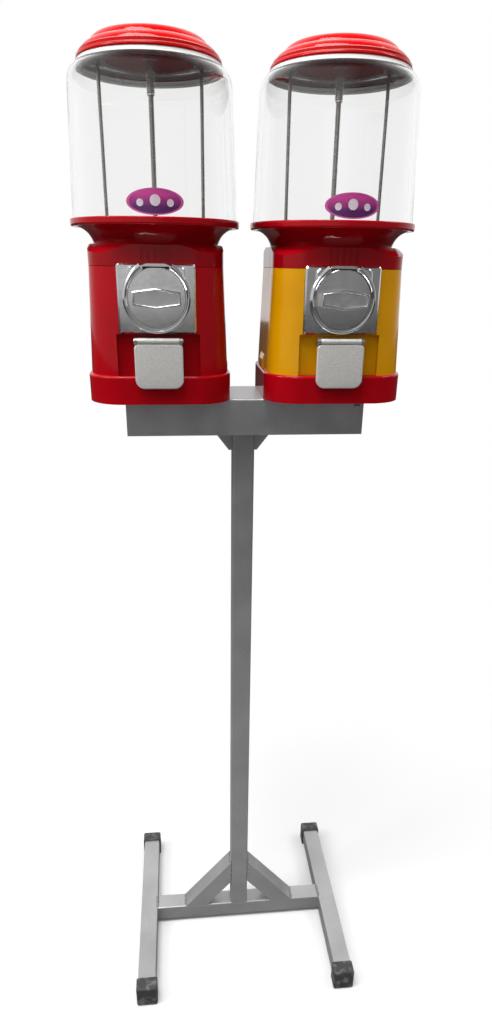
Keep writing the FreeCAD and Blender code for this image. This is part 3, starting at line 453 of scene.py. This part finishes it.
def rounded_outline(half_width, low, top, foot, head, inset):
    """Points around an upright rectangle, seen from the front, with round corners at foot and head."""
    steps = 8
    across, base, crown = half_width - inset, low + inset, top - inset
    foot_round, head_round = foot - inset, head - inset
    corners = ((1, base, foot_round, -90), (1, crown, head_round, 0),
               (-1, crown, head_round, 90), (-1, base, foot_round, 180))
    points = []
    for sign, edge, radius, first in corners:
        upward = 1 if edge == base else -1
        for step in range(steps + 1):
            turn = math.radians(first + 90 * step / steps)
            points.append((sign * (across - radius) + radius * math.cos(turn),
                           edge + upward * radius + radius * math.sin(turn)))
    return points


def make_flap_face(side):
    """The flap's plain face with a soft edge, over the CAD door's rim and panel."""
    half_width, low, top = 0.0242, BEAM_TOP + 0.017, BEAM_TOP + 0.0604
    foot_round, head_round = 0.009, 0.0045
    # From the edge's back to the face: how far in from the outline, and how far in front of the axis.
    profile = ((0.0, 0.0798), (0.0, 0.0802), (0.0003, 0.0806), (0.0008, 0.0808), (0.0016, 0.0809))
    points = []
    for inset, depth in profile:
        for across, height in rounded_outline(half_width, low, top, foot_round, head_round, inset):
            points.append((HEADS[side] + across, -depth, height))
    columns = len(points) // len(profile)
    faces = strip_faces(len(profile), columns, True)
    faces.append(tuple(range(len(points) - columns, len(points))))
    mesh = mesh_of(f"{side}_flap_face", points, faces)
    add_piece(f"{side}_flap_face", mesh, f"{side}_flap", MATERIALS["flap_metal"])


def make_collar_corners(side):
    """The trimmed corners of the collar: four pieces of a cone under the hopper."""
    half, corner = 0.0675, 0.030
    cone_start, cone_top, fall = half + 0.001, BEAM_TOP + 0.1523, 12 / 19
    inner, edge_margin, sink = 0.0725, 0.0012, 0.00004
    half_span = 20
    middle = math.hypot(half - corner, half - corner)
    rows, columns = 8, 25
    for number in range(4):
        points = []
        for row in range(rows):
            for column in range(columns):
                off = math.radians(-half_span + 2 * half_span * column / (columns - 1))
                reach = middle * math.cos(off)
                edge = reach + math.sqrt(reach ** 2 - middle ** 2 + corner ** 2) - edge_margin
                radius = inner + (edge - inner) * row / (rows - 1)
                turn = off + math.radians(45 + 90 * number)
                points.append((HEADS[side] + radius * math.cos(turn), radius * math.sin(turn),
                               cone_top - (radius - cone_start) * fall - sink))
        name = f"{side}_collar_corner_{number}"
        faces = strip_faces(rows, columns, False)
        add_piece(name, mesh_of(name, points, faces), STAND, MATERIALS["red_paint"])


def trim_bezel(side):
    """The coin plate with the top of its ring cut level with the plate."""
    node = f"{side}_coin_plate"
    # The cut lies just above the plate's own top, so that this face stays whole.
    cut_height = PLATE_TOP + 0.00002
    shape = bmesh.new()
    shape.from_mesh(NODES[node].data)
    bmesh.ops.remove_doubles(shape, verts=shape.verts, dist=1e-6)
    parts = shape.verts[:] + shape.edges[:] + shape.faces[:]
    cut = bmesh.ops.bisect_plane(shape, geom=parts, plane_co=(0, 0, cut_height), plane_no=(0, 0, 1),
                                 clear_outer=True)
    rim = [item for item in cut["geom_cut"] if isinstance(item, bmesh.types.BMEdge)]
    bmesh.ops.triangle_fill(shape, use_beauty=True, edges=rim)
    mesh = bpy.data.meshes.new(f"{side}_bezel")
    shape.to_mesh(mesh)
    shape.free()
    mesh.materials.clear()
    # The CAD mesh's stored normals no longer fit the cut one.
    for name in ("custom_normal", "sharp_edge", "sharp_face"):
        if name in mesh.attributes:
            mesh.attributes.remove(mesh.attributes[name])
    piece = add_piece(f"{side}_bezel", mesh, STAND, MATERIALS["chrome_plate"])
    mesh.set_sharp_from_angle(angle=math.radians(25))
    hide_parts(node)


def make_bezel_ring(side):
    """The polished round of the coin plate's ring, open at the coin entry and wider at both its ends."""
    gap, ear = math.radians(28), math.radians(26)
    inner, outer, ear_width = 0.0293, 0.033, 0.002
    face, crown = 0.07645, 0.0011
    rows, columns = 140, 9
    points = []
    for row in range(rows):
        turn = math.radians(90) + gap + (2 * math.pi - 2 * gap) * row / (rows - 1)
        to_end = (math.pi - gap) * (1 - abs(2 * row / (rows - 1) - 1))
        edge = outer + ear_width * max(0.0, 1 - to_end / ear)
        for column in range(columns):
            share = column / (columns - 1)
            radius = inner + (edge - inner) * share
            depth = face + crown * math.sin(math.pi * share)
            points.append((HEADS[side] + radius * math.cos(turn), -depth,
                           COIN_AXIS + radius * math.sin(turn)))
    mesh = mesh_of(f"{side}_bezel_ring", points, strip_faces(rows, columns, False))
    add_piece(f"{side}_bezel_ring", mesh, STAND, MATERIALS["chrome_plate"])


def grip_outline(side, inset, depth):
    """The six corners of a knob's grip, drawn in by an inset, at a depth in front of the head's axis."""
    length, middle, end = 0.0234 - inset, 0.0094 - inset, 0.0062 - inset * 0.9
    corners = ((-length, -end), (0, -middle), (length, -end), (length, end), (0, middle), (-length, end))
    return [(HEADS[side] + across, -depth, COIN_AXIS + up) for across, up in corners]


def make_grip_face(side):
    """A rounded rim around the knob's grip, and the dull floor of its bare recess."""
    rim_inset, rim_half_width = 0.0011, 0.0009
    rim_depth, rim_height = 0.0883, 0.0008
    floor_inset, floor_depth = 0.0022, 0.08695
    steps, corners = 6, 6
    points = []
    for step in range(steps + 1):
        turn = math.pi * step / steps
        inset = rim_inset + rim_half_width * math.cos(turn)
        points.extend(grip_outline(side, inset, rim_depth + rim_height * math.sin(turn)))
    mesh = mesh_of(f"{side}_grip_rim", points, strip_faces(steps + 1, corners, True))
    add_piece(f"{side}_grip_rim", mesh, f"{side}_drive", MATERIALS["chrome_plate"])
    mesh.set_sharp_from_angle(angle=math.radians(32))
    outline = grip_outline(side, floor_inset, floor_depth)
    floor = mesh_of(f"{side}_grip_floor", outline, [tuple(range(corners))])
    add_piece(f"{side}_grip_floor", floor, f"{side}_drive", DULL_PLATE)


def ring_band(name, side, body, profile, material):
    """A ring around a head's axis, turned from a closed profile of radii and heights above the beam."""
    columns = 96
    points = []
    for radius, height in profile:
        for column in range(columns):
            turn = 2 * math.pi * column / columns
            points.append((HEADS[side] + radius * math.cos(turn), radius * math.sin(turn), BEAM_TOP + height))
    faces = strip_faces(len(profile), columns, True)
    last = (len(profile) - 1) * columns
    for column in range(columns):
        after = (column + 1) % columns
        faces.append((last + column, last + after, after, column))
    add_piece(name, mesh_of(name, points, faces), body, material)


def round_profile(radius, height, bead):
    """A small circle at a radius and a height, as a profile."""
    return [(radius + bead * math.cos(math.pi * step / 4), height + bead * math.sin(math.pi * step / 4))
            for step in range(8)]


def make_rims(side):
    """The globe's mouth edges in white, a painted highlight, and the lid's skirt with the pale edges of its
    steps, also a painted highlight.
    """
    lid = f"{side}_lid"
    globe_rim = ((0.0687, 0.3066), (0.069, 0.3042), (0.0702, 0.3034), (0.0722, 0.3022), (0.0725, 0.3024),
                 (0.07155, 0.3031), (0.07055, 0.3037), (0.0694, 0.3044), (0.06895, 0.3066))
    mouth_rim = round_profile(0.0443, 0.3082, 0.0011)
    lid_skirt = ((0.0690, 0.3066), (0.0692, 0.3066), (0.0687, 0.3096), (0.0665, 0.3105), (0.0664, 0.3095),
                 (0.0685, 0.3095))
    # The globe's rim and mouth rim are white as a painted highlight.
    ring_band(f"{side}_globe_rim", side, STAND, globe_rim, EDGE_HIGHLIGHT_PLASTIC)
    ring_band(f"{side}_mouth_rim", side, STAND, mouth_rim, EDGE_HIGHLIGHT_PLASTIC)
    ring_band(f"{side}_lid_skirt", side, lid, lid_skirt, LID_PAINT)
    # Each edge slopes from a wide, low line to a narrow, high one, and its pale red is a painted highlight.
    edges = {"skirt": (0.0688, 0.3097, 0.0672, 0.3104), "rim": (0.0666, 0.3129, 0.0650, 0.3140),
             "step": (0.0588, 0.3189, 0.0571, 0.3203)}
    for name, (wide, low, narrow, high) in edges.items():
        band = ((wide, low), (narrow, high), (narrow - 0.0002, high - 0.0004), (wide - 0.0004, low - 0.0002))
        ring_band(f"{side}_lid_{name}_edge", side, lid, band, LID_HIGHLIGHT_PAINT)


def floor_paint():
    """Pale where it is seen near the stand, white further out, and dim in reflections."""
    paint = Paint("floor", {"Roughness": 0.9, "Specular IOR Level": 0.0})
    distance = paint.node("ShaderNodeVectorMath", {0: paint.place}, operation="LENGTH").outputs["Value"]
    seen = paint.seen_straight()
    near = paint.ramp(distance, 0.3, 2.5, 0.28, 0.08)
    grey = paint.node("ShaderNodeCombineColor", {"Red": near, "Green": near, "Blue": near}).outputs[0]
    paint.set("Base Color", paint.blend(seen, grey, rgba(0.9, 0.9, 0.9)))
    far = paint.ramp(distance, 0.15, 0.9)
    white = paint.node("ShaderNodeEmission", {"Strength": 1.0})
    mixed = paint.node("ShaderNodeMixShader", {0: paint.math("MULTIPLY", far, seen),
                                               1: paint.shader.outputs[0], 2: white.outputs[0]})
    paint.feed(paint.tree.nodes["Material Output"].inputs[0], mixed.outputs[0])
    return paint.material


def make_floor():
    """A wide round floor that keeps the shadow near the stand."""
    reach, columns = 14.0, 64
    turns = [2 * math.pi * column / columns for column in range(columns)]
    points = [(reach * math.cos(turn), reach * math.sin(turn), 0) for turn in turns]
    floor = bpy.data.objects.new("floor", mesh_of("floor", points, [tuple(range(columns))]))
    SCENE.collection.objects.link(floor)
    floor.data.materials.append(floor_paint())


def make_world():
    """White where it is seen. It lights from above, and gloss mirrors a room that is bright behind,
    paler at the left than at the right, and dim overhead."""
    world = bpy.data.worlds.new("studio")
    SCENE.world = world
    world.use_nodes = True
    world.node_tree.nodes.clear()
    studio = ShaderTree(world.node_tree)

    def backdrop(strength):
        return studio.node("ShaderNodeBackground", {"Color": rgba(1, 1, 1), "Strength": strength}).outputs[0]

    seen = studio.seen_straight()
    direction = studio.node("ShaderNodeTexCoord").outputs["Generated"]
    towards = studio.node("ShaderNodeSeparateXYZ", {0: direction}).outputs
    overhead = studio.ramp(towards["Z"], 0.0, 0.9, 0.16, 0.75)
    front = studio.ramp(towards["X"], -0.1, 0.25, 0.66, 0.22)
    back = studio.ramp(towards["Y"], -0.3, 0.45, 0.0, 1.0)
    room = studio.math("MAXIMUM", front, back)
    shine = studio.math("MULTIPLY", room, studio.ramp(towards["Z"], 0.78, 0.95, 1.0, 0.2))
    glossy = studio.node("ShaderNodeLightPath").outputs["Is Glossy Ray"]
    lit = studio.node("ShaderNodeMixShader", {0: glossy, 1: backdrop(overhead), 2: backdrop(shine)})
    whole = studio.node("ShaderNodeMixShader", {0: seen, 1: lit.outputs[0], 2: backdrop(1.0)})
    studio.node("ShaderNodeOutputWorld", {0: whole.outputs[0]})


def add_lamp(name, place, target, size, watts, unlit):
    """A soft rectangular lamp that looks at a point, and leaves some objects out."""
    data = bpy.data.lights.new(name, "AREA")
    data.shape = "RECTANGLE"
    data.size, data.size_y = size
    data.energy = watts
    lamp = bpy.data.objects.new(name, data)
    lamp.location = place
    lamp.rotation_euler = (Vector(target) - Vector(place)).to_track_quat("-Z", "Y").to_euler()
    lamp.visible_transmission = False
    lamp.light_linking.receiver_collection = unlit
    SCENE.collection.objects.link(lamp)


def make_lights():
    """Three soft lamps. The clear globes don't mirror them, as in the photograph."""
    globes = bpy.data.collections.new("globes")
    for side in HEADS:
        globes.objects.link(NODES[f"{side}_globe"])
    for member in globes.collection_objects:
        member.light_linking.link_state = "EXCLUDE"
    add_lamp("top_box", place=(-0.5, -0.5, 2.9), target=(0, 0, 0.6), size=(1.2, 0.9), watts=44, unlit=globes)
    add_lamp("left_box", place=(-2.0, -0.7, 2.5), target=(0, 0, 0.8), size=(0.7, 1.2), watts=26, unlit=globes)
    add_lamp("right_box", place=(1.8, -0.1, 2.6), target=(0, 0, 0.9), size=(0.5, 0.9), watts=14, unlit=globes)


def make_camera():
    """The photograph's viewpoint: close, just above the coin plates, looking down by 24 degrees."""
    width, height = 492, 1024
    focal_pixels = 687.97
    middle = (247.9, 569.06)
    place = (-0.0749, -0.8006, 0.973)
    yaw, pitch, roll = 0.1036, 0.4206, 0.014
    ahead = Vector((math.sin(yaw), math.cos(yaw), 0))
    level = Vector((math.cos(yaw), -math.sin(yaw), 0))
    upright = Vector((0, 0, 1))
    forward = ahead * math.cos(pitch) - upright * math.sin(pitch)
    above = ahead * math.sin(pitch) + upright * math.cos(pitch)
    right = level * math.cos(roll) + above * math.sin(roll)
    up = above * math.cos(roll) - level * math.sin(roll)
    data = bpy.data.cameras.new("camera")
    data.sensor_width = 36.0
    data.lens = focal_pixels / height * data.sensor_width
    data.shift_x = (width / 2 - middle[0]) / height
    data.shift_y = (middle[1] - height / 2) / height
    camera = bpy.data.objects.new("camera", data)
    turned = Matrix((right, up, -forward)).transposed().to_4x4()
    camera.matrix_world = Matrix.Translation(place) @ turned
    SCENE.collection.objects.link(camera)
    SCENE.camera = camera


dress_nodes()
make_welds()
make_decals()
for head in HEADS:
    make_thread(head)
    make_flap_face(head)
    make_collar_corners(head)
    trim_bezel(head)
    make_bezel_ring(head)
    make_grip_face(head)
    make_rims(head)
make_floor()
make_world()
make_lights()
make_camera()
SCENE.view_settings.view_transform = "Standard"
